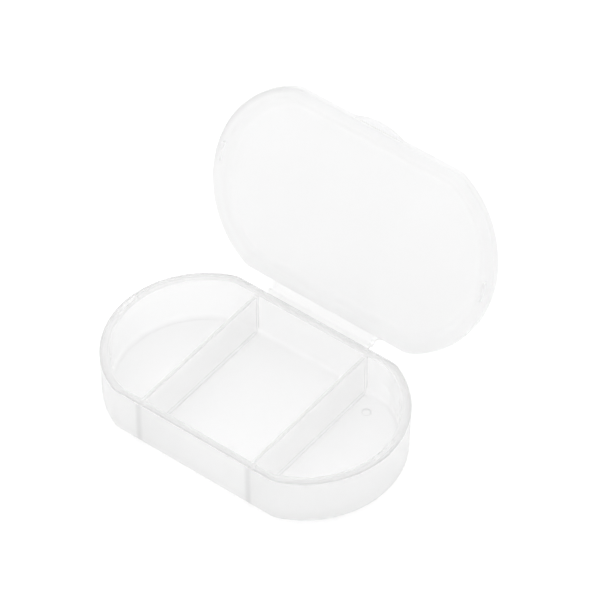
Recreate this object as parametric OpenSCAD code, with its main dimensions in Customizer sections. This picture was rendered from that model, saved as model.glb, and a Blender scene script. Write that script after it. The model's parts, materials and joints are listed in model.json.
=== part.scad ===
// Oval pill box with three compartments and a lid on a living hinge, moulded in one piece.
// Millimetres. +X runs along the length, +Y towards the hinge, +Z up.
// The origin is the centre of the tray's underside. The lid is drawn standing open.

/* [Tray] */
// Length of the tray from end to end at the rim
tray_length = 85; // [80:0.5:96]
// Width of the tray across its straight sides at the rim
tray_width = 50.2; // [46:0.2:54]
// Height of the tray from the table to the rim
tray_height = 15; // [12:0.5:22]
// Length of each straight side between its two corners
straight_length = 50.4; // [44:0.2:52]
// Wall thickness at the rim of the straight sides
side_wall = 2.1; // [1.7:0.1:2.6]
// Wall thickness at the rim of the round ends
end_wall = 2.5; // [2.4:0.1:3]
// Thickness of the floor
floor_thickness = 1.4; // [1:0.1:2]
// How far the outside of the wall leans in from rim to base
outer_draft = 0.3; // [0:0.05:0.6]
// How far the inside of the wall leans in from rim to floor
inner_draft = 0.2; // [0:0.05:0.4]
// Radius of the outside edge under the tray
base_radius = 1.3; // [0.6:0.1:2]
// Radius inside, where the walls meet the floor
floor_radius = 1.6; // [0.8:0.1:2.4]

/* [Dividers] */
// Distance of each divider's middle plane from the centre of the tray
divider_offset = 17.4; // [12:0.1:18.5]
// Thickness of a divider along its top edge
divider_top = 1; // [0.8:0.1:1.6]
// Thickness of a divider at its foot
divider_foot = 1.3; // [1.1:0.1:2]
// How far the top of a divider lies below the rim
divider_drop = 0.3; // [0.2:0.1:3]

/* [Lid] */
// Thickness of the lid's flat panel
panel_thickness = 1.4; // [1:0.1:2]
// Height of the raised edge around the lid's underside
skirt_height = 1.1; // [0.6:0.1:1.6]
// Width of that raised edge
skirt_width = 2.9; // [1.8:0.1:3.6]
// How far the lid stands proud of the tray all round
lid_overhang = 0.7; // [0:0.05:0.9]
// Air left between the closed lid and the rim
closing_gap = 0.1; // [0.05:0.05:0.3]
// Radius of the lid's outside edge
lid_edge_radius = 0.5; // [0.2:0.1:0.8]
// Length of the thumb tab along the lid's front edge
tab_length = 16; // [12:0.5:22]
// How far the thumb tab stands out from the lid's edge
tab_reach = 1.8; // [1:0.1:2.6]

/* [Living hinge] */
// Length of the hinge strap along the rear edge
strap_length = 33; // [24:0.5:36]
// How far the hinge line lies behind the tray's rear wall
hinge_reach = 2.4; // [2.2:0.1:3.4]
// How far the hinge line lies below the rim
hinge_drop = 0.8; // [0.7:0.05:1.2]
// Thickness of the strap on each side of the hinge line
strap_thickness = 0.6; // [0.45:0.05:0.7]
// Radius of the bead of film that bends on the hinge line
film_radius = 0.3; // [0.25:0.05:0.3]
// Length of the gusset at each end of the strap, where it runs into the lid
gusset = 1.5; // [0.5:0.1:2]
// Angle between the open lid and its closed position
open_angle = 113.5; // [0:0.5:180]

/* [Snaps] */
// Length of the pocket in the rim at each round end
pocket_length = 8; // [6:0.5:12]
// Width of that pocket across the rim
pocket_width = 1; // [0.8:0.05:1.1]
// Depth of that pocket
pocket_depth = 1.2; // [1:0.1:2]
// Length of the rib on the lid that drops into a pocket
rib_length = 5.6; // [4:0.2:5.8]
// Thickness of that rib
rib_width = 0.7; // [0.5:0.05:0.7]
// How far the rib stands down from the lid's raised edge
rib_height = 0.9; // [0.6:0.1:0.9]

/* [Moulding marks] */
// Radius of the round ejector mark in the floor
mark_radius = 1.4; // [1:0.1:2]
// Depth of that mark
mark_depth = 0.15; // [0.1:0.05:0.3]
// Distance of the mark from the centre of the tray, along its length
mark_x = 22; // [21.5:0.5:24]
// Distance of the mark behind the centre line
mark_y = 17.5; // [10:0.5:18]

/* [Hidden] */
$fn = 96;

half_length = tray_length / 2;
half_width = tray_width / 2;
half_straight = straight_length / 2;

// Each round end is one arc through the two corners and the end of the tray.
end_centre = (half_length * half_length - half_straight * half_straight - half_width * half_width)
    / (2 * (half_length - half_straight));
end_radius = half_length - end_centre;

// Ring that the snap pockets and ribs lie on, in the middle of the end wall.
snap_radius = end_radius - end_wall / 2;

hinge_y = half_width + hinge_reach;
hinge_z = tray_height - hinge_drop;
strap_gap = 0.1;
film_clearance = 0.12;
strap_end = hinge_y - film_radius - film_clearance;

skirt_base = tray_height + closing_gap;
panel_base = skirt_base + skirt_height;
lid_top = panel_base + panel_thickness;

// Radius of the tab's front curve, from its chord and how far it stands out.
tab_radius = (tab_length * tab_length / 4 + tab_reach * tab_reach) / (2 * tab_reach);

// Longer than anything it cuts through
over = 200;

tray_colour = [0.93, 0.94, 0.94];
lid_colour = [0.95, 0.96, 0.96];
hinge_colour = [0.98, 0.98, 0.98];

// Half of a cross-section from the axis out to w, with an edge radius at the bottom
// and a side that leans in by lean from top to bottom.
module half_section(w, low, high, lean, edge) {
    polygon([
        [0, low],
        [w - lean - edge, low],
        [w - lean, low + edge],
        [w, high],
        [0, high]
    ]);
    translate([w - lean - edge, low + edge])
        circle(r = edge);
}

// The same cross-section on both sides, run along X.
module section_along_x(w, low, high, lean, edge, run) {
    rotate([90, 0, 90])
        linear_extrude(height = run, center = true) {
            half_section(w, low, high, lean, edge);
            mirror([1, 0])
                half_section(w, low, high, lean, edge);
        }
}

// The box's oval outline as a tub with its edge radius underneath: two round ends with
// a straight run between them, trimmed by the two straight sides.
module tub(side, end, low, high, lean, edge) {
    intersection() {
        section_along_x(side, low, high, lean, edge, over);
        union() {
            section_along_x(end, low, high, lean, edge, 2 * end_centre);
            for (way = [-1, 1])
                translate([way * end_centre, 0, 0])
                    rotate_extrude()
                        half_section(end, low, high, lean, edge);
        }
    }
}

// The outline with plain upright sides, grown or shrunk by the given amounts.
module oval(side_growth, end_growth, low, high) {
    translate([0, 0, low])
        linear_extrude(height = high - low)
            intersection() {
                square([over, 2 * (half_width + side_growth)], center = true);
                union() {
                    square([2 * end_centre, 2 * (end_radius + end_growth)], center = true);
                    for (way = [-1, 1])
                        translate([way * end_centre, 0])
                            circle(r = end_radius + end_growth);
                }
            }
}

module tray_outside() {
    tub(half_width, end_radius, 0, tray_height, outer_draft, base_radius);
}

// The hollow of the tray, carried on a little above the rim so that it cuts cleanly.
module tray_inside() {
    tub(half_width - side_wall, end_radius - end_wall, floor_thickness, tray_height + 1,
        inner_draft, floor_radius);
}

// A strip of the ring in the middle of an end wall, centred on the X axis.
// way is -1 for the left end and 1 for the right end.
module end_strip(way, length, width, low, high) {
    sweep = length / snap_radius * 180 / PI;
    start = (way > 0 ? 0 : 180) - sweep / 2;
    translate([way * end_centre, 0, low])
        rotate([0, 0, start])
            rotate_extrude(angle = sweep)
                translate([snap_radius - width / 2, 0])
                    square([width, high - low]);
}

module tray_shell() {
    color(tray_colour)
        difference() {
            tray_outside();
            tray_inside();
            for (way = [-1, 1])
                end_strip(way, pocket_length, pocket_width,
                    tray_height - pocket_depth, tray_height + 1);
            translate([mark_x, mark_y, floor_thickness - mark_depth])
                cylinder(r = mark_radius, h = 1);
        }
}

// A wall across the tray, thicker at its foot, trimmed to the hollow it stands in.
module divider(way) {
    top = tray_height - divider_drop;
    color(tray_colour)
        intersection() {
            tray_inside();
            translate([way * divider_offset, 0, 0])
                rotate([90, 0, 0])
                    linear_extrude(height = over, center = true)
                        polygon([
                            [-divider_foot / 2, 0],
                            [divider_foot / 2, 0],
                            [divider_top / 2, top],
                            [-divider_top / 2, top]
                        ]);
        }
}

module divider_left() {
    divider(-1);
}

module divider_right() {
    divider(1);
}

// The half of the strap that belongs to the tray, standing out from the rear wall.
module tray_hinge_flange() {
    high = hinge_z - strap_gap;
    color(hinge_colour)
        difference() {
            translate([-strap_length / 2, half_width - outer_draft - 1, high - strap_thickness])
                cube([strap_length, strap_end - half_width + outer_draft + 1, strap_thickness]);
            tray_outside();
        }
}

// The round bead of film on the hinge line.
module living_hinge_film() {
    color(hinge_colour)
        translate([0, hinge_y, hinge_z])
            rotate([0, 90, 0])
                cylinder(r = film_radius, h = strap_length, center = true);
}

// Turns a part of the closed lid about the hinge line to where it stands open.
module opened() {
    translate([0, hinge_y, hinge_z])
        rotate([-open_angle, 0, 0])
            translate([0, -hinge_y, -hinge_z])
                children();
}

// The lid's panel as it lies when the lid is closed.
module closed_panel() {
    translate([0, 0, panel_base + lid_top])
        mirror([0, 0, 1])
            tub(half_width + lid_overhang, end_radius + lid_overhang,
                panel_base, lid_top, 0, lid_edge_radius);
}

module lid_panel() {
    color(lid_colour)
        opened()
            closed_panel();
}

module lid_skirt() {
    color(lid_colour)
        opened()
            difference() {
                oval(lid_overhang, lid_overhang, skirt_base, panel_base);
                oval(lid_overhang - skirt_width, lid_overhang - skirt_width,
                    skirt_base - 1, panel_base + 1);
            }
}

// A shallow arc on the front edge of the lid, as thick as the panel inside its edge radius.
module thumb_tab() {
    front = half_width + lid_overhang;
    color(lid_colour)
        opened()
            difference() {
                intersection() {
                    translate([0, -front - tab_reach + tab_radius, panel_base])
                        cylinder(r = tab_radius, h = panel_thickness - lid_edge_radius);
                    translate([-over / 2, -front - tab_reach - 1, panel_base - 1])
                        cube([over, tab_reach + 2, panel_thickness + 2]);
                }
                closed_panel();
            }
}

// The half of the strap that belongs to the lid. It widens at both ends into the lid.
module lid_hinge_flange() {
    low = hinge_z + strap_gap;
    rear = half_width + lid_overhang;
    half_strap = strap_length / 2;
    color(hinge_colour)
        opened()
            intersection() {
                rotate([90, 0, 90])
                    linear_extrude(height = over, center = true)
                        polygon([
                            [strap_end, low],
                            [strap_end, low + strap_thickness],
                            [rear + 0.3, panel_base],
                            [rear, panel_base],
                            [rear, skirt_base - 0.05],
                            [strap_end - 0.9, low]
                        ]);
                linear_extrude(height = over)
                    polygon([
                        [-half_strap, strap_end],
                        [half_strap, strap_end],
                        [half_strap, rear + gusset / 2],
                        [half_strap + gusset, rear],
                        [-half_strap - gusset, rear],
                        [-half_strap, rear + gusset / 2]
                    ]);
            }
}

module snap_rib(way) {
    color(lid_colour)
        opened()
            end_strip(way, rib_length, rib_width, skirt_base - rib_height, skirt_base);
}

module snap_rib_left() {
    snap_rib(-1);
}

module snap_rib_right() {
    snap_rib(1);
}

tray_shell();
divider_left();
divider_right();
tray_hinge_flange();
living_hinge_film();
lid_panel();
lid_skirt();
thumb_tab();
lid_hinge_flange();
snap_rib_left();
snap_rib_right();
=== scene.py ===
"""Oval three-compartment pill box in natural polypropylene, lid open on its living hinge.

The whole box is one moulding, so the tray with its two dividers is one skin, the lid with its
raised edge, thumb tab and snap ribs is another, and the thin hinge strap bends between them.
Every skin is built from rings of points around the box's oval outline.
"""

import json
import math

import bmesh
import bpy
from mathutils import Matrix, Vector
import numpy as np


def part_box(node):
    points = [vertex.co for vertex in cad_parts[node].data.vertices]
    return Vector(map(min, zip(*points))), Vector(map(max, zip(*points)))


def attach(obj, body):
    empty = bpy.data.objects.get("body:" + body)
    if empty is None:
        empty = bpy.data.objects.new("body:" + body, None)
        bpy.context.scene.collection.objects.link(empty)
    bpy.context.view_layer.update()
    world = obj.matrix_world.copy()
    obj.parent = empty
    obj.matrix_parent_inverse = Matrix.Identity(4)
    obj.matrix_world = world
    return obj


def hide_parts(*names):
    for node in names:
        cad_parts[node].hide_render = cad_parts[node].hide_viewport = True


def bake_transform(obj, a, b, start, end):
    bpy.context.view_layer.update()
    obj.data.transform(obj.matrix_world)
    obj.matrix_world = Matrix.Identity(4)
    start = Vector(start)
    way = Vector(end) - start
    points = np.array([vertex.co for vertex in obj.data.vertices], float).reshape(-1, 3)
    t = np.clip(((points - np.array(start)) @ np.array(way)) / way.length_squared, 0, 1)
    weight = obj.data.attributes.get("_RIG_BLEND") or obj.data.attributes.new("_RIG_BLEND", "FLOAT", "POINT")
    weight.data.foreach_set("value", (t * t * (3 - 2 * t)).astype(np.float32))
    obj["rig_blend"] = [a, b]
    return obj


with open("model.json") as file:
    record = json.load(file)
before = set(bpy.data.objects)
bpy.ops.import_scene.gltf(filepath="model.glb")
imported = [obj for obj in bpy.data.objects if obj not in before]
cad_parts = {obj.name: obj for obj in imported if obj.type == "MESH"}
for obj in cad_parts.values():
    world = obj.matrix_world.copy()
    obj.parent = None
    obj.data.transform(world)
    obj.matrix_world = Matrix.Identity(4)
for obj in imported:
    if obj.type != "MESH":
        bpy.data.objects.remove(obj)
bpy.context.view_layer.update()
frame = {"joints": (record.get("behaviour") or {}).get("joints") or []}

MM = 0.001

# ---------------------------------------------------------------------------
# Sizes. The frame gives the outer ones, and the rest are the moulding's own, in metres.
# ---------------------------------------------------------------------------

tray_low, tray_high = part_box("tray_shell")
lid_low, lid_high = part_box("lid_panel")
divider_low, divider_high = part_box("divider_right")
strap_low, strap_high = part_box("living_hinge_film")

HALF_LENGTH = (tray_high.x - tray_low.x) / 2
HALF_WIDTH = (tray_high.y - tray_low.y) / 2
RIM = tray_high.z
OVERHANG = (lid_high.x - lid_low.x) / 2 - HALF_LENGTH
HALF_STRAIGHT = 25.2 * MM
SIDE_WALL = 2.1 * MM
END_WALL = 2.5 * MM
FLOOR = divider_low.z
OUTER_DRAFT = 0.3 * MM
INNER_DRAFT = 0.2 * MM
BASE_RADIUS = 2.0 * MM
FLOOR_RADIUS = 1.4 * MM
RIM_RADIUS = 0.28 * MM
RIM_INNER_RADIUS = 0.6 * MM
PLAN_RADIUS = 1.3 * MM

DIVIDER_X = (divider_low.x + divider_high.x) / 2
DIVIDER_TOP = divider_high.z
DIVIDER_TOP_HALF = 0.5 * MM
DIVIDER_FOOT_HALF = (divider_high.x - divider_low.x) / 2
DIVIDER_CROWN = 0.42 * MM
DIVIDER_FILLET = 0.7 * MM
POST_FILLET = 0.45 * MM

POCKET_HALF = 4.0 * MM
POCKET_WIDTH = 1.0 * MM
POCKET_DEPTH = 1.2 * MM
POCKET_STEPS = 8
RIB_HALF = 2.8 * MM
RIB_WIDTH = 0.7 * MM
RIB_HEIGHT = 0.9 * MM
RIB_TAPER = 0.2 * MM
RIB_SHOULDER = 0.08

MARK_CENTRE = Vector((22.0 * MM, 17.5 * MM))
MARK_RADIUS = 1.4 * MM
MARK_DEPTH = 0.25 * MM
MARK_LIP = 0.25 * MM
MARK_SLOPE = 0.6 * MM

CLOSING_GAP = 0.1 * MM
SKIRT_HEIGHT = 1.1 * MM
SKIRT_WIDTH = 2.4 * MM
SKIRT_RAMP = 2.8 * MM
PANEL_THICKNESS = 1.4 * MM
LID_TOP_RADIUS = 0.5 * MM
LID_LOW_RADIUS = 0.4 * MM
TAB_HALF = 8.0 * MM
TAB_REACH = 1.8 * MM
TAB_THICKNESS = 0.9 * MM
TAB_LEAST_SHARE = 0.3
TAB_CLEAR = 0.5 * MM

STRAP_HALF = (strap_high.x - strap_low.x) / 2
STRAP_THICKNESS = 0.6 * MM
FILM_THICKNESS = 0.4 * MM
GUSSET = 1.5 * MM
STRAP_SINK = 0.15 * MM
STRAP_DROP = 0.45 * MM
FILM_SPREAD = 0.16
GUSSET_START = 0.72
GUSSET_CURVE = 2.2

hinge = frame["joints"][0]
HINGE = Vector(hinge["pos_m"])
CLOSED_ANGLE = math.radians(hinge["range_deg"][0])

# How dark the skin is painted (0 is clear, 1 is black): painted shade where light is lost along the rim's
# outer edge, where the dividers' ends show through the wall, in the ejector mark's dish and round the lid's
# left end. Also how much rougher than elsewhere the skin is. They are looks only.
RIM_PAINTED_SHADE = 0.2
DIVIDER_END_PAINTED_SHADE = 0.21
MARK_PAINTED_SHADE = 0.28
LID_EDGE_PAINTED_SHADE = 0.22
LID_EDGE_FADE = 9.0 * MM
LID_EDGE_START = HALF_STRAIGHT - 5 * MM
LID_EDGE_FULL = HALF_STRAIGHT + 4 * MM
OUTSIDE_FROST = 0.14
BASE_FROST = 0.3
SNAP_FROST = 0.2
STRAP_END_FROST = 0.6
PAINTED_SHADE_LAYER = "painted_shade"
FROST_LAYER = "frost"

# Each round end is one arc through its two corners and the end of the box.
END_CENTRE = HALF_LENGTH**2 - HALF_STRAIGHT**2 - HALF_WIDTH**2
END_CENTRE /= 2 * (HALF_LENGTH - HALF_STRAIGHT)
END_RADIUS = HALF_LENGTH - END_CENTRE

# ---------------------------------------------------------------------------
# The outline. A station says where along the outline a point is, and place() finds the point
# for an outline whose straight sides lie at side and whose end arcs have radius end.
# ---------------------------------------------------------------------------

FIXED_X = 20.0 * MM
FIXED_ANGLE = math.radians(58)


def place(station, side, end):
    """A station is (kind, value, way_x, way_y), where the ways mirror it to its own quarter."""
    kind, value, way_x, way_y = station
    corner_x = END_CENTRE + math.sqrt(end**2 - side**2)
    corner_angle = math.asin(side / end)
    if kind == "side":
        return Vector((value, way_y * side))
    if kind == "near":
        x = FIXED_X + value * (corner_x - PLAN_RADIUS - FIXED_X)
        return Vector((way_x * x, way_y * side))
    arc_start = corner_angle - PLAN_RADIUS / end
    if kind == "corner":
        a = Vector((corner_x - PLAN_RADIUS, side))
        b = Vector((corner_x, side))
        c = Vector((END_CENTRE + end * math.cos(arc_start), end * math.sin(arc_start)))
        p = (1 - value) ** 2 * a + 2 * value * (1 - value) * b + value**2 * c
        return Vector((way_x * p.x, way_y * p.y))
    if kind == "approach":
        angle = arc_start + value * (FIXED_ANGLE - arc_start)
    else:
        angle = value
    return Vector((way_x * (END_CENTRE + end * math.cos(angle)), way_y * end * math.sin(angle)))


def spread(low, high, count):
    """count + 1 evenly spaced values from low to high."""
    return [low + (high - low) * i / count for i in range(count + 1)]


def ramp(value, low, high):
    """How far a value is on the way from low to high, held between 0 and 1."""
    return min(max((value - low) / (high - low), 0.0), 1.0)


def merge(values, extra):
    """Both lists as one rising list, with the even values that crowd an extra one left out."""
    near = 0.35 * abs(values[1] - values[0])
    kept = [v for v in values if all(abs(v - e) > near for e in extra)]
    return sorted(kept + list(extra))


def end_stations(way, marks):
    """Stations round one end, from the rear corner to the front. marks are angles to include."""
    rear = [("near", f, way, 1) for f in spread(0, 1, 4)[1:]]
    rear += [("corner", f, way, 1) for f in spread(0, 1, 8)[1:]]
    rear += [("approach", f, way, 1) for f in spread(0, 1, 6)[1:-1]]
    angles = merge(spread(0, FIXED_ANGLE, 48), marks)
    arc = [("arc", a, way, 1) for a in reversed(angles)]
    arc += [("arc", a, way, -1) for a in angles if a > 0]
    front = [(kind, f, way, -1) for kind, f, _, _ in reversed(rear)]
    return rear + arc + front


# ---------------------------------------------------------------------------
# Ring building
# ---------------------------------------------------------------------------


def arc_places(stations, way, angle):
    """The places in a list of stations on one end's arc, up to an angle from its middle."""
    limit = angle + 1e-6
    return [i for i, s in enumerate(stations) if s[0] == "arc" and s[2] == way and s[1] <= limit]


def inset(height, radius):
    """How far a fillet of that radius stands out from its wall at a height above its foot."""
    if height >= radius:
        return 0.0
    return radius - math.sqrt(radius**2 - (radius - height) ** 2)


def ring(bm, points, z):
    return [bm.verts.new((p.x, p.y, z)) for p in points]


def start_mesh():
    """An empty mesh whose points will also say how much shade is painted on the skin and how frosted it is
    there.
    """
    bm = bmesh.new()
    bm.verts.layers.float.new(PAINTED_SHADE_LAYER)
    bm.verts.layers.float.new(FROST_LAYER)
    return bm


def mark_points(bm, layer_name, verts, share):
    layer = bm.verts.layers.float[layer_name]
    for v in verts:
        v[layer] = share


def skin(bm, lower, upper, closed=True, skip=()):
    """Quads between two rows of points. skip holds the places that are left open."""
    last = len(lower) if closed else len(lower) - 1
    for i in range(last):
        if i in skip:
            continue
        j = (i + 1) % len(lower)
        bm.faces.new((lower[i], lower[j], upper[j], upper[i]))


def cap(bm, *loops):
    """Fills the flat area inside the first loop, leaving any other loops as holes."""
    edges = []
    for loop in loops:
        for i, v in enumerate(loop):
            w = loop[(i + 1) % len(loop)]
            edges.append(bm.edges.get((v, w)) or bm.edges.new((v, w)))
    bmesh.ops.triangle_fill(bm, use_beauty=True, use_dissolve=False, edges=edges)


def push_out(bm, first, second):
    """Pushes the patch between two rows of points down into a snap rib, whose sides lean in."""
    around = list(first) + list(reversed(second))
    middle = sum((v.co for v in around), Vector()) / len(around)
    previous = around
    for share in (RIB_SHOULDER, 1):
        drop = RIB_HEIGHT * share
        row = []
        for v in around:
            toward = Vector((middle.x - v.co.x, middle.y - v.co.y, 0)).normalized()
            lean = toward * RIB_TAPER * share
            row.append(bm.verts.new((v.co.x + lean.x, v.co.y + lean.y, v.co.z - drop)))
        mark_points(bm, FROST_LAYER, row, SNAP_FROST)
        skin(bm, previous, row)
        previous = row
    count = len(first)
    skin(bm, previous[:count], list(reversed(previous[count:])), closed=False)


def scoop(bm, first, second, depth):
    """Sinks a round-bottomed groove, shallower to its ends, between two rows of points."""
    last = len(first) - 1
    columns = []
    for i in range(1, last):
        deep = depth * math.sqrt(1 - (2 * i / last - 1) ** 2)
        column = [first[i]]
        for t in spread(-math.pi / 2, math.pi / 2, POCKET_STEPS)[1:-1]:
            p = first[i].co.lerp(second[i].co, (1 + math.sin(t)) / 2)
            column.append(bm.verts.new((p.x, p.y, p.z - deep * math.cos(t))))
        mark_points(bm, FROST_LAYER, column[1:], SNAP_FROST)
        columns.append(column + [second[i]])
    for a, b in zip(columns, columns[1:]):
        skin(bm, a, b, closed=False)
    middle = POCKET_STEPS // 2
    for i, column in ((0, columns[0]), (last, columns[-1])):
        bm.faces.new((first[i], second[i], column[middle]))
        for k, (a, b) in enumerate(zip(column, column[1:])):
            bm.faces.new((a, b, first[i] if k < middle else second[i]))


def finish_mesh(bm, name, smooth_angle=40):
    bmesh.ops.recalc_face_normals(bm, faces=bm.faces)
    mesh = bpy.data.meshes.new(name)
    bm.to_mesh(mesh)
    bm.free()
    piece = bpy.data.objects.new(name, mesh)
    bpy.context.scene.collection.objects.link(piece)
    for face in mesh.polygons:
        face.use_smooth = True
    mesh.set_sharp_from_angle(angle=math.radians(smooth_angle))
    weighted = piece.modifiers.new("even_shading", "WEIGHTED_NORMAL")
    weighted.mode = "FACE_AREA"
    weighted.weight = 60
    weighted.keep_sharp = True
    return piece


# ---------------------------------------------------------------------------
# The tray, with its two dividers
# ---------------------------------------------------------------------------

SIDE_IN = HALF_WIDTH - SIDE_WALL
END_IN = END_RADIUS - END_WALL
SNAP_RADIUS = END_RADIUS - END_WALL / 2
POCKET_ANGLE = POCKET_HALF / SNAP_RADIUS
RIB_ANGLE = RIB_HALF / SNAP_RADIUS


def inner_lean(z):
    return INNER_DRAFT * (RIM - z) / (RIM - FLOOR)


def outer_lean(z):
    return OUTER_DRAFT * (RIM - z) / (RIM - BASE_RADIUS)


def wall_in(z):
    """How far the inside of the wall stands in from its place at the rim, at a height."""
    drop = inner_lean(z) + inset(z - FLOOR, FLOOR_RADIUS)
    return drop - inset(RIM - z, RIM_INNER_RADIUS)


def divider_half(z):
    """Half the divider's thickness at a height, with its foot fillet and rounded top edge."""
    share = (z - FLOOR) / (DIVIDER_TOP - FLOOR)
    half = DIVIDER_FOOT_HALF + share * (DIVIDER_TOP_HALF - DIVIDER_FOOT_HALF)
    half += inset(z - FLOOR, DIVIDER_FILLET)
    return half - inset(DIVIDER_TOP - z, DIVIDER_CROWN)


def fillet_arc(centre_x, centre_y, radius, start, end, steps=5):
    """Points strictly inside a small arc in plan, angles in degrees."""
    centre = Vector((centre_x, centre_y))
    turns = spread(math.radians(start), math.radians(end), steps + 1)[1:-1]
    return [centre + radius * Vector((math.cos(t), math.sin(t))) for t in turns]


def divider_line(x, reach, from_rear):
    ys = spread(reach, -reach, 16)
    line = [Vector((x, y)) for y in ys]
    return line if from_rear else list(reversed(line))


# The dividers' ends show in the outer wall, so its stations close in on them. Inside, the next
# stations stand clear of the dividers' feet.
MIDDLE_XS = spread(-15 * MM, 15 * MM, 15)
BESIDE_DIVIDER_X = 19.4 * MM
DRAW_IN_REACH = 2.5 * MM
DRAW_IN_SHARE = 0.6
DIVIDER_END = 0.5 * MM


def middle_ring(z):
    """The middle compartment at a height: rear wall, right divider, front wall, left divider."""
    side = SIDE_IN - wall_in(z)
    face = DIVIDER_X - divider_half(z)
    wall_end = face - POST_FILLET
    reach = side - POST_FILLET
    xs = [-wall_end] + MIDDLE_XS + [wall_end]
    rear = [Vector((x, side)) for x in xs]
    right = fillet_arc(wall_end, reach, POST_FILLET, 90, 0)
    right += divider_line(face, reach, True)
    right += fillet_arc(wall_end, -reach, POST_FILLET, 0, -90)
    front = [Vector((x, -side)) for x in reversed(xs)]
    left = [Vector((-p.x, p.y)) for p in reversed(right)]
    return rear, right, front, left


def end_ring(z, stations, way):
    """An end compartment at a height: the wall from rear round to front, then the divider."""
    side = SIDE_IN - wall_in(z)
    end = END_IN - wall_in(z)
    face = DIVIDER_X + divider_half(z)
    wall_end = face + POST_FILLET
    reach = side - POST_FILLET
    wall = [Vector((way * wall_end, side))]
    wall += [place(s, side, end) for s in stations]
    wall += [Vector((way * wall_end, -side))]
    across = fillet_arc(wall_end, -reach, POST_FILLET, -90, -180)
    across += divider_line(face, reach, False)
    across += fillet_arc(wall_end, reach, POST_FILLET, 180, 90)
    return wall, [Vector((way * p.x, p.y)) for p in across]


def compartment_heights():
    """Heights from the floor to the top of the dividers, close together where a fillet turns."""
    rise = [FLOOR + FLOOR_RADIUS * (1 - math.cos(t)) for t in spread(0, math.pi / 2, 10)]
    crown = [DIVIDER_TOP - DIVIDER_CROWN * (1 - math.cos(t)) for t in spread(0, math.pi / 2, 6)]
    between = spread(rise[-1], crown[-1], 4)[1:-1]
    return rise + between + crown[::-1]


def rim_heights():
    """Heights from the top of the dividers over the rounded inner edge of the rim."""
    start = math.acos(1 - (RIM - DIVIDER_TOP) / RIM_INNER_RADIUS)
    return [RIM - RIM_INNER_RADIUS * (1 - math.cos(t)) for t in spread(start, 0, 5)[1:]]


def off_divider(station):
    """How far along the straight wall a station is from the nearest divider's middle."""
    kind, value, _, _ = station
    return abs(abs(value) - DIVIDER_X) if kind == "side" else HALF_LENGTH


def draw_in(station):
    """The station on the outside, where the ones next to a divider close in on its end."""
    kind, value, way_x, way_y = station
    if off_divider(station) > DRAW_IN_REACH:
        return station
    away = DRAW_IN_SHARE * (abs(value) - DIVIDER_X)
    return (kind, math.copysign(DIVIDER_X + away, value), way_x, way_y)


def end_wall_stations(way):
    """The stations of one end compartment's wall, from beside its divider round to it again."""
    beside = [BESIDE_DIVIDER_X, FIXED_X]
    rear = [("side", way * x, way, 1) for x in beside]
    front = [("side", way * x, way, -1) for x in reversed(beside)]
    return rear + end_stations(way, [POCKET_ANGLE, RIB_ANGLE]) + front


def build_compartments(bm):
    """The middle (0), right (1) and left (-1) compartments, from the floor to the tops of the
    dividers. Returns the top rows of each."""
    tops = {}
    for way in (0, 1, -1):
        previous = None
        for z in compartment_heights():
            parts = end_ring(z, end_wall_stations(way), way) if way else middle_ring(z)
            rows = [ring(bm, part, z) for part in parts]
            loop = [v for row in rows for v in row]
            if previous is None:
                holes = [build_mark(bm)] if way == 1 else []
                cap(bm, loop, *holes)
            else:
                skin(bm, previous, loop)
            previous = loop
        tops[way] = rows
    return tops


def build_divider_tops(bm, tops):
    rear, right_face, front, left_face = tops[0]
    near_right = [rear[-1]] + right_face + [front[0]]
    near_left = [rear[0]] + list(reversed(left_face)) + [front[-1]]
    for way, near in ((1, near_right), (-1, near_left)):
        wall, across = tops[way]
        far = [wall[0]] + list(reversed(across)) + [wall[-1]]
        skin(bm, near, far, closed=False)


def rim_stations(tops):
    """Stations all round the rim, one above each point of the wall at the dividers' tops."""
    rear, _, front, _ = tops[0]
    first_x = tops[1][0][0].co.x
    stations = [("side", v.co.x, 0, 1) for v in rear]
    stations += [("side", first_x, 1, 1)] + end_wall_stations(1) + [("side", first_x, 1, -1)]
    stations += [("side", v.co.x, 0, -1) for v in front]
    stations += [("side", -first_x, -1, -1)] + list(reversed(end_wall_stations(-1)))
    return stations + [("side", -first_x, -1, 1)]


def wall_ring(bm, stations, side, end, z):
    return ring(bm, [place(s, side, end) for s in stations], z)


def build_rim(bm, tops, stations):
    """From the dividers' tops over the inner edge and across the rim, with the snap pockets.
    Returns the last row, on the outer side of the pockets."""
    loop = tops[0][0] + tops[1][0] + tops[0][2] + list(reversed(tops[-1][0]))
    for z in rim_heights():
        row = wall_ring(bm, stations, SIDE_IN - wall_in(z), END_IN - wall_in(z), z)
        skin(bm, loop, row)
        loop = row

    rows = []
    for half in (-POCKET_WIDTH / 2, POCKET_WIDTH / 2):
        share = (END_WALL / 2 + half) / END_WALL
        side = SIDE_IN + share * SIDE_WALL
        rows.append(wall_ring(bm, stations, side, END_IN + share * END_WALL, RIM))
    inside, outside = rows
    skin(bm, loop, inside)
    pockets = [arc_places(stations, way, POCKET_ANGLE) for way in (1, -1)]
    skin(bm, inside, outside, skip=[i for found in pockets for i in found[:-1]])
    for found in pockets:
        scoop(bm, [inside[i] for i in found], [outside[i] for i in found], POCKET_DEPTH)
    # Painted shade at half strength on the rim's top, on the outer side of the pockets.
    mark_points(bm, PAINTED_SHADE_LAYER, outside, RIM_PAINTED_SHADE / 2)
    return outside


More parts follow.
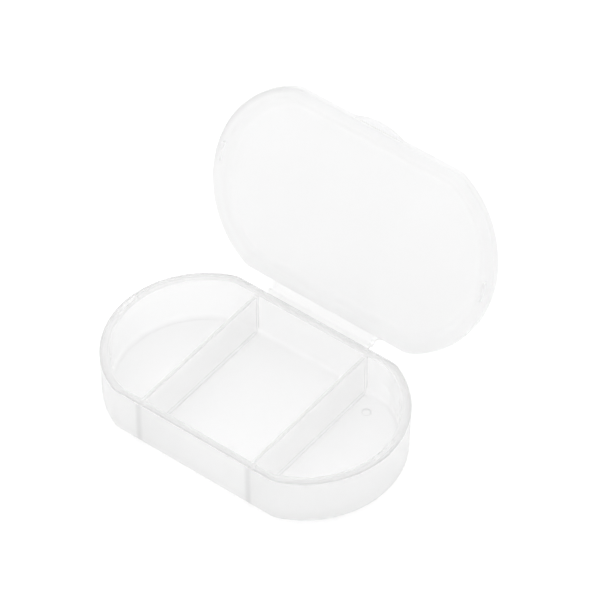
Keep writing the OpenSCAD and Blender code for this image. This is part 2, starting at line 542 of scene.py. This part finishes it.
def build_outside(bm, loop, stations):
    """Round the rim's outer edge, down the wall, round the base edge and across the underside."""
    plan = [draw_in(s) for s in stations]

    def outer_ring(away, z):
        return wall_ring(bm, plan, HALF_WIDTH - away, END_RADIUS - away, z)

    edge, wall, base = [], [], []
    for t in spread(0, math.pi / 2, 5):
        z = RIM - RIM_RADIUS * (1 - math.cos(t))
        edge.append(outer_ring(RIM_RADIUS * (1 - math.sin(t)) + outer_lean(z), z))
    for z in [RIM - 2 * RIM_RADIUS] + spread(RIM - 4 * RIM_RADIUS, BASE_RADIUS, 5):
        wall.append(outer_ring(outer_lean(z), z))
    for t in spread(0, math.pi / 2, 8)[1:]:
        away = BASE_RADIUS * (1 - math.cos(t)) + OUTER_DRAFT
        base.append(outer_ring(away, BASE_RADIUS * (1 - math.sin(t))))
    for row in edge + wall + base:
        skin(bm, loop, row)
        loop = row
    cap(bm, loop)

    # Painted shade: the rim's rounded outer edge is painted darker, for the light lost there.
    for row in edge:
        mark_points(bm, PAINTED_SHADE_LAYER, row, RIM_PAINTED_SHADE)
    # Painted shade: the outer wall is painted darker where the dividers' ends show through it.
    divider_ends = [i for i, s in enumerate(plan) if s[3] == -1 and off_divider(s) < DIVIDER_END]
    for row in wall[1:] + base[:-1]:
        mark_points(bm, FROST_LAYER, row, OUTSIDE_FROST)
        mark_points(bm, PAINTED_SHADE_LAYER, [row[i] for i in divider_ends], DIVIDER_END_PAINTED_SHADE)
    for row in base[2:-1]:
        mark_points(bm, FROST_LAYER, row, BASE_FROST)


def build_tray():
    bm = start_mesh()
    tops = build_compartments(bm)
    build_divider_tops(bm, tops)
    stations = rim_stations(tops)
    outside = build_rim(bm, tops, stations)
    build_outside(bm, outside, stations)
    return finish_mesh(bm, "tray_moulding")


def build_mark(bm):
    """The round ejector mark: a shallow dish in the floor. Returns its edge on the floor."""
    def circle(radius, z):
        turns = spread(0, 2 * math.pi, 40)[:-1]
        points = [MARK_CENTRE + Vector((radius * math.cos(t), radius * math.sin(t))) for t in turns]
        return ring(bm, points, z)

    edge = circle(MARK_RADIUS, FLOOR)
    slope = circle(MARK_RADIUS - MARK_LIP, FLOOR - MARK_DEPTH / 2)
    foot = circle(MARK_RADIUS - MARK_SLOPE, FLOOR - MARK_DEPTH)
    skin(bm, edge, slope)
    skin(bm, slope, foot)
    cap(bm, foot)
    # Painted shade on the dish's sloping side.
    mark_points(bm, PAINTED_SHADE_LAYER, slope, MARK_PAINTED_SHADE)
    return edge


# ---------------------------------------------------------------------------
# The lid, drawn closed and then opened about the hinge line
# ---------------------------------------------------------------------------

SKIRT_BASE = RIM + CLOSING_GAP
PANEL_BASE = SKIRT_BASE + SKIRT_HEIGHT
LID_TOP = PANEL_BASE + PANEL_THICKNESS
OPENING = (
    Matrix.Translation(HINGE)
    @ Matrix.Rotation(-CLOSED_ANGLE, 4, Vector(hinge["axis"]))
    @ Matrix.Translation(-HINGE)
)


def lid_stations(tab_xs):
    """Stations all round the lid, with the thumb tab's own on the front side."""
    clear_xs = [x for x in spread(-FIXED_X, FIXED_X, 24) if abs(x) > TAB_HALF + TAB_CLEAR]
    front_xs = sorted(clear_xs + tab_xs)
    stations = [("side", x, 0, 1) for x in spread(-FIXED_X, FIXED_X, 24)]
    stations += end_stations(1, [RIB_ANGLE])
    stations += [("side", x, 0, -1) for x in reversed(front_xs)]
    return stations + list(reversed(end_stations(-1, [RIB_ANGLE])))


def lid_ring(bm, stations, in_by, z):
    out = OVERHANG - in_by
    return wall_ring(bm, stations, HALF_WIDTH + out, END_RADIUS + out, z)


def build_underside(bm, stations):
    """The recessed face, the gentle rise from it to the raised edge, and the snap ribs. Returns
    the last row, on the outer side of the ribs."""
    rows = []
    for share in spread(0, 1, 12):
        drop = SKIRT_HEIGHT * share**2 * (3 - 2 * share)
        in_by = SKIRT_WIDTH + SKIRT_RAMP * (1 - share)
        rows.append(lid_ring(bm, stations, in_by, PANEL_BASE - drop))
    rib_out = END_RADIUS + OVERHANG - SNAP_RADIUS - RIB_WIDTH / 2
    rib_in = rib_out + RIB_WIDTH
    inside = lid_ring(bm, stations, rib_in, SKIRT_BASE)
    outside = lid_ring(bm, stations, rib_out, SKIRT_BASE)
    cap(bm, rows[0])
    for lower, upper in zip(rows, rows[1:]):
        skin(bm, lower, upper)
    skin(bm, rows[-1], inside)
    ribs = [arc_places(stations, way, RIB_ANGLE) for way in (1, -1)]
    skin(bm, inside, outside, skip=[i for found in ribs for i in found[:-1]])
    for found in ribs:
        push_out(bm, [inside[i] for i in found], [outside[i] for i in found])
    return outside


def paint_shade_on_left_end(bm, row):
    """Paints shade on a row round the lid's left end, fading out along its sides and to the hinge."""
    for v in row:
        on_left = ramp(-v.co.x, LID_EDGE_START, LID_EDGE_FULL)
        on_front = ramp(-v.co.y, -LID_EDGE_FADE, LID_EDGE_FADE)
        mark_points(bm, PAINTED_SHADE_LAYER, [v], LID_EDGE_PAINTED_SHADE * on_left * on_front)


def build_lid_outside(bm, loop, stations, tab_xs):
    """Round the low edge, up past the thumb tab, round the top edge and across the top."""
    rows = [loop]
    for t in spread(0, math.pi / 2, 4):
        in_by = LID_LOW_RADIUS * (1 - math.sin(t))
        z = SKIRT_BASE + LID_LOW_RADIUS * (1 - math.cos(t))
        rows.append(lid_ring(bm, stations, in_by, z))
        # Painted shade round the lid's left end, on the rows of its low rounded edge.
        paint_shade_on_left_end(bm, rows[-1])
    tab_low = lid_ring(bm, stations, 0, PANEL_BASE)
    tab_high = lid_ring(bm, stations, 0, PANEL_BASE + TAB_THICKNESS)
    rows += [tab_low, tab_high]
    for t in spread(0, math.pi / 2, 6)[1:]:
        in_by = LID_TOP_RADIUS * (1 - math.cos(t))
        rows.append(lid_ring(bm, stations, in_by, LID_TOP - LID_TOP_RADIUS * (1 - math.sin(t))))
    found = [i for i, s in enumerate(stations) if s[3] == -1 and s[0] == "side" and s[1] in tab_xs]
    for lower, upper in zip(rows, rows[1:]):
        skip = found[:-1] if lower is tab_low else ()
        skin(bm, lower, upper, skip=skip)
    cap(bm, rows[-1])
    build_tab(bm, [tab_low[i] for i in found], [tab_high[i] for i in found])


def build_lid():
    bm = start_mesh()
    tab_xs = spread(-TAB_HALF, TAB_HALF, 20)
    stations = lid_stations(tab_xs)
    outside = build_underside(bm, stations)
    build_lid_outside(bm, outside, stations, tab_xs)
    bmesh.ops.transform(bm, matrix=OPENING, verts=bm.verts)
    return finish_mesh(bm, "lid_moulding")


def build_tab(bm, low, high):
    """The shallow arc of the thumb tab, between two rows of points on the lid's front edge."""
    radius = (TAB_HALF**2 + TAB_REACH**2) / (2 * TAB_REACH)
    nose = TAB_THICKNESS / 2

    def row(share_out, z):
        verts = [low[0]]
        for v in low[1:-1]:
            reach = math.sqrt(radius**2 - v.co.x**2) - (radius - TAB_REACH)
            out = max(reach - nose * (1 - share_out), reach * TAB_LEAST_SHARE)
            verts.append(bm.verts.new((v.co.x, v.co.y - out, z)))
        verts.append(low[-1])
        return verts

    base = low[1].co.z
    rows = []
    for t in spread(-math.pi / 2, math.pi / 2, 8):
        rows.append(row(math.cos(t), base + nose + nose * math.sin(t)))
    last = len(low) - 1

    def strip(a, b):
        for i in range(last):
            corners = []
            for v in (a[i], a[i + 1], b[i + 1], b[i]):
                if v not in corners:
                    corners.append(v)
            if len(corners) > 2:
                bm.faces.new(corners)

    strip(low, rows[0])
    for a, b in zip(rows, rows[1:]):
        strip(a, b)
    top = [high[0]] + rows[-1][1:-1] + [high[-1]]
    strip(top, high)
    bm.faces.new((low[0], rows[-1][1], high[0]))
    bm.faces.new((low[last], rows[-1][last - 1], high[last]))


# ---------------------------------------------------------------------------
# The hinge strap: one thin web from the tray's rear wall to the lid's rear edge
# ---------------------------------------------------------------------------

strap_turn = OPENING @ Vector((0, HINGE.y - 0.9 * MM, HINGE.z + 0.42 * MM))


def build_strap():
    """The web follows a curve from just inside the tray's wall to just inside the lid's edge."""
    bm = start_mesh()
    level = RIM - STRAP_DROP
    lid_back_y = HALF_WIDTH + OVERHANG - STRAP_SINK
    lid_back = OPENING @ Vector((0, lid_back_y, SKIRT_BASE + 0.35 * MM))
    control = [
        Vector((HALF_WIDTH - STRAP_SINK, level)),
        Vector((HINGE.y - 1.2 * MM, level - 0.1 * MM)),
        Vector((HINGE.y + 0.05 * MM, HINGE.z - 0.1 * MM)),
        Vector((strap_turn.y, strap_turn.z)),
        Vector((lid_back.y, lid_back.z)),
    ]
    line = smooth_line(control, 8)
    count = len(line)
    xs_even = spread(-1, 1, 24)
    rows_front, rows_back = [], []
    for i, p in enumerate(line):
        share = i / (count - 1)
        before = line[max(i - 1, 0)]
        after = line[min(i + 1, count - 1)]
        along = (after - before).normalized()
        across = Vector((-along.y, along.x))
        off_film = 1 - math.exp(-((share - 0.5) / FILM_SPREAD) ** 2)
        half = (FILM_THICKNESS + (STRAP_THICKNESS - FILM_THICKNESS) * off_film) / 2
        reach = STRAP_HALF + GUSSET * ramp(share, GUSSET_START, 1) ** GUSSET_CURVE
        top = [bm.verts.new((x * reach, *(p + across * half))) for x in xs_even]
        low = [bm.verts.new((x * reach, *(p - across * half))) for x in xs_even]
        mark_points(bm, FROST_LAYER, [top[0], top[-1], low[0], low[-1]], STRAP_END_FROST)
        rows_front.append(top)
        rows_back.append(low)
    for rows in (rows_front, rows_back):
        for a, b in zip(rows, rows[1:]):
            skin(bm, a, b, closed=False)
    for j in (0, -1):
        front_edge = [row[j] for row in rows_front]
        skin(bm, front_edge, [row[j] for row in rows_back], closed=False)
    for k in (0, -1):
        skin(bm, rows_front[k], rows_back[k], closed=False)
    return finish_mesh(bm, "hinge_strap")


def smooth_line(control, steps):
    """A Catmull-Rom curve through the control points."""
    points = [2 * control[0] - control[1]] + control + [2 * control[-1] - control[-2]]
    line = []
    for a, b, c, d in zip(points, points[1:], points[2:], points[3:]):
        for t in spread(0, 1, steps)[:-1]:
            bend = (2 * a - 5 * b + 4 * c - d) * t**2 + (3 * b - a - 3 * c + d) * t**3
            line.append(0.5 * (2 * b + (c - a) * t + bend))
    line.append(control[-1])
    return line


# ---------------------------------------------------------------------------
# Materials
# ---------------------------------------------------------------------------

REFRACTION = 1.49
GRAIN_STRENGTH = 0.1
CLOUD_SCALE = 45.0
CLOUD_TONE = 0.012
CLOUD_GLOSS = 0.15
PAPER_WHITE = 0.86
PAPER_GLOW = 0.17


def new_material(name):
    material = bpy.data.materials.new(name)
    material.use_nodes = True
    nodes = material.node_tree.nodes
    links = material.node_tree.links
    nodes.clear()
    output = nodes.new("ShaderNodeOutputMaterial")
    output.name = "Material Output"
    shader = nodes.new("ShaderNodeBsdfPrincipled")
    links.new(shader.outputs["BSDF"], output.inputs["Surface"])
    return material, nodes, links, shader


def skin_share(nodes, layer_name):
    """What mark_points set on the piece's points under that name."""
    shares = nodes.new("ShaderNodeAttribute")
    shares.attribute_name = layer_name
    return shares.outputs["Fac"]


def add_tint(nodes, links, shader, clouds, tint):
    """The skin's tint, faintly clouded, with painted shade where the points are marked for it."""
    low = tint - CLOUD_TONE
    colour = nodes.new("ShaderNodeValToRGB")
    colour.color_ramp.elements[0].position = 0.3
    colour.color_ramp.elements[0].color = (low, low, low, 1)
    colour.color_ramp.elements[1].position = 0.7
    colour.color_ramp.elements[1].color = (tint, tint, tint, 1)
    links.new(clouds.outputs["Fac"], colour.inputs["Fac"])
    shade = nodes.new("ShaderNodeMix")
    shade.data_type = "RGBA"
    shade.inputs["B"].default_value = (0, 0, 0, 1)
    # Painted shade: the marked points pull the tint towards black.
    links.new(skin_share(nodes, PAINTED_SHADE_LAYER), shade.inputs["Factor"])
    links.new(colour.outputs["Color"], shade.inputs["A"])
    links.new(shade.outputs["Result"], shader.inputs["Base Color"])


def add_roughness(nodes, links, shader, clouds, roughness):
    """The skin's roughness, faintly clouded, with the points' own frost on top."""
    gloss = nodes.new("ShaderNodeMapRange")
    gloss.inputs["To Min"].default_value = roughness * (1 - CLOUD_GLOSS)
    gloss.inputs["To Max"].default_value = roughness * (1 + CLOUD_GLOSS)
    links.new(clouds.outputs["Fac"], gloss.inputs["Value"])
    rough = nodes.new("ShaderNodeMath")
    links.new(gloss.outputs["Result"], rough.inputs[0])
    links.new(skin_share(nodes, FROST_LAYER), rough.inputs[1])
    links.new(rough.outputs["Value"], shader.inputs["Roughness"])


def add_grain(nodes, links, shader, where, grain, grain_size):
    pores = nodes.new("ShaderNodeTexNoise")
    pores.inputs["Scale"].default_value = 1.0 / grain_size
    pores.inputs["Detail"].default_value = 2.0
    links.new(where.outputs["Object"], pores.inputs["Vector"])
    bump = nodes.new("ShaderNodeBump")
    bump.inputs["Strength"].default_value = GRAIN_STRENGTH
    bump.inputs["Distance"].default_value = grain
    links.new(pores.outputs["Fac"], bump.inputs["Height"])
    links.new(bump.outputs["Normal"], shader.inputs["Normal"])


def polypropylene(name, tint, roughness, grain, grain_size, haze_density, haze_colour, onward):
    """Natural polypropylene: a clear skin with a fine moulded grain, and a milky haze inside."""
    material, nodes, links, shader = new_material(name)
    shader.inputs["IOR"].default_value = REFRACTION
    shader.inputs["Transmission Weight"].default_value = 1.0
    where = nodes.new("ShaderNodeTexCoord")
    clouds = nodes.new("ShaderNodeTexNoise")
    clouds.inputs["Scale"].default_value = CLOUD_SCALE
    clouds.inputs["Detail"].default_value = 3.0
    links.new(where.outputs["Object"], clouds.inputs["Vector"])
    add_tint(nodes, links, shader, clouds, tint)
    add_roughness(nodes, links, shader, clouds, roughness)
    add_grain(nodes, links, shader, where, grain, grain_size)

    haze = nodes.new("ShaderNodeVolumePrincipled")
    haze.inputs["Density"].default_value = haze_density
    haze.inputs["Anisotropy"].default_value = onward
    haze.inputs["Color"].default_value = (haze_colour, haze_colour, haze_colour, 1)
    links.new(haze.outputs["Volume"], nodes["Material Output"].inputs["Volume"])
    return material


def floor_material():
    """White paper, with a little glow of its own that stands in for light from all round it."""
    material, _, _, shader = new_material("studio_floor")
    shader.inputs["Base Color"].default_value = (PAPER_WHITE, PAPER_WHITE, PAPER_WHITE, 1)
    shader.inputs["Roughness"].default_value = 0.9
    shader.inputs["Specular IOR Level"].default_value = 0.0
    shader.inputs["Emission Color"].default_value = (1, 1, 1, 1)
    shader.inputs["Emission Strength"].default_value = PAPER_GLOW
    return material


# ---------------------------------------------------------------------------
# Put the box together
# ---------------------------------------------------------------------------

tray = build_tray()
lid = build_lid()
strap = build_strap()

tray_plastic = polypropylene(
    "tray_polypropylene", tint=0.98, roughness=0.24, grain=0.004 * MM, grain_size=0.8 * MM,
    haze_density=260, haze_colour=0.951, onward=0.1,
)
lid_plastic = polypropylene(
    "lid_polypropylene", tint=0.875, roughness=0.4, grain=0.006 * MM, grain_size=0.35 * MM,
    haze_density=1000, haze_colour=0.994, onward=0.6,
)
web_plastic = polypropylene(
    "hinge_polypropylene", tint=0.99, roughness=0.1, grain=0.003 * MM, grain_size=0.5 * MM,
    haze_density=1300, haze_colour=0.965, onward=0.4,
)
tray.data.materials.append(tray_plastic)
lid.data.materials.append(lid_plastic)
strap.data.materials.append(web_plastic)

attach(tray, "tray")
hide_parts("tray_shell", "divider_left", "divider_right")

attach(lid, "lid")
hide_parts("lid_panel", "lid_skirt", "thumb_tab", "snap_rib_left", "snap_rib_right")

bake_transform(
    strap, "tray", "lid",
    start=(0, HINGE.y - 0.7 * MM, HINGE.z - 0.4 * MM),
    end=(0, strap_turn.y, strap_turn.z),
)
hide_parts("tray_hinge_flange", "living_hinge_film", "lid_hinge_flange")

# ---------------------------------------------------------------------------
# Studio: a white floor, a white room and the camera
# ---------------------------------------------------------------------------

LIGHT_WAY = Vector((-0.6, 0.3, 0.9)).normalized()
LIGHT_EDGE = 0.0
LIGHT_CORE = 0.95
ROOM_DIM = 0.95
ROOM_BRIGHT = 1.3
PAPER_HALF = 3.0
PAPER_DROP = 0.02 * MM
BOUNCES = 64

# Light crosses the clear walls many times, so it needs many bounces to come out again.
scene = bpy.context.scene
scene.view_settings.view_transform = "Standard"
scene.cycles.max_bounces = BOUNCES
scene.cycles.transmission_bounces = BOUNCES
scene.cycles.glossy_bounces = BOUNCES
scene.cycles.diffuse_bounces = BOUNCES
scene.cycles.volume_bounces = BOUNCES
scene.cycles.blur_glossy = 0.0


def build_floor():
    bm = bmesh.new()
    bmesh.ops.create_grid(bm, x_segments=2, y_segments=2, size=PAPER_HALF)
    mesh = bpy.data.meshes.new("studio_floor")
    bm.to_mesh(mesh)
    bm.free()
    floor = bpy.data.objects.new("studio_floor", mesh)
    scene.collection.objects.link(floor)
    floor.location.z = -PAPER_DROP
    mesh.materials.append(floor_material())


def build_world():
    """A pale room with one broad soft light: the sky grows brighter towards LIGHT_WAY."""
    world = bpy.data.worlds.new("white_room")
    scene.world = world
    world.use_nodes = True
    nodes = world.node_tree.nodes
    links = world.node_tree.links
    where = nodes.new("ShaderNodeTexCoord")
    toward = nodes.new("ShaderNodeVectorMath")
    toward.operation = "DOT_PRODUCT"
    toward.inputs[1].default_value = LIGHT_WAY
    links.new(where.outputs["Generated"], toward.inputs[0])
    glow = nodes.new("ShaderNodeMapRange")
    glow.interpolation_type = "SMOOTHSTEP"
    glow.inputs["From Min"].default_value = LIGHT_EDGE
    glow.inputs["From Max"].default_value = LIGHT_CORE
    glow.inputs["To Min"].default_value = ROOM_DIM
    glow.inputs["To Max"].default_value = ROOM_BRIGHT
    links.new(toward.outputs["Value"], glow.inputs["Value"])
    background = nodes["Background"]
    background.inputs["Color"].default_value = (1, 1, 1, 1)
    links.new(glow.outputs["Result"], background.inputs["Strength"])


def build_camera():
    azimuth = math.radians(37.755)
    elevation = math.radians(45.733)
    distance = 1243.9 * MM
    aim = Vector((-11.476 * MM, 33.362 * MM, 8.0 * MM))
    back = Vector((
        math.sin(azimuth) * math.cos(elevation),
        -math.cos(azimuth) * math.cos(elevation),
        math.sin(elevation),
    ))
    data = bpy.data.cameras.new("camera")
    data.sensor_width = 36.0
    data.lens = 291.2
    data.clip_end = 20.0
    camera = bpy.data.objects.new("camera", data)
    camera.location = aim + back * distance
    camera.rotation_euler = (-back).to_track_quat("-Z", "Y").to_euler()
    scene.collection.objects.link(camera)
    scene.camera = camera


build_floor()
build_world()
build_camera()
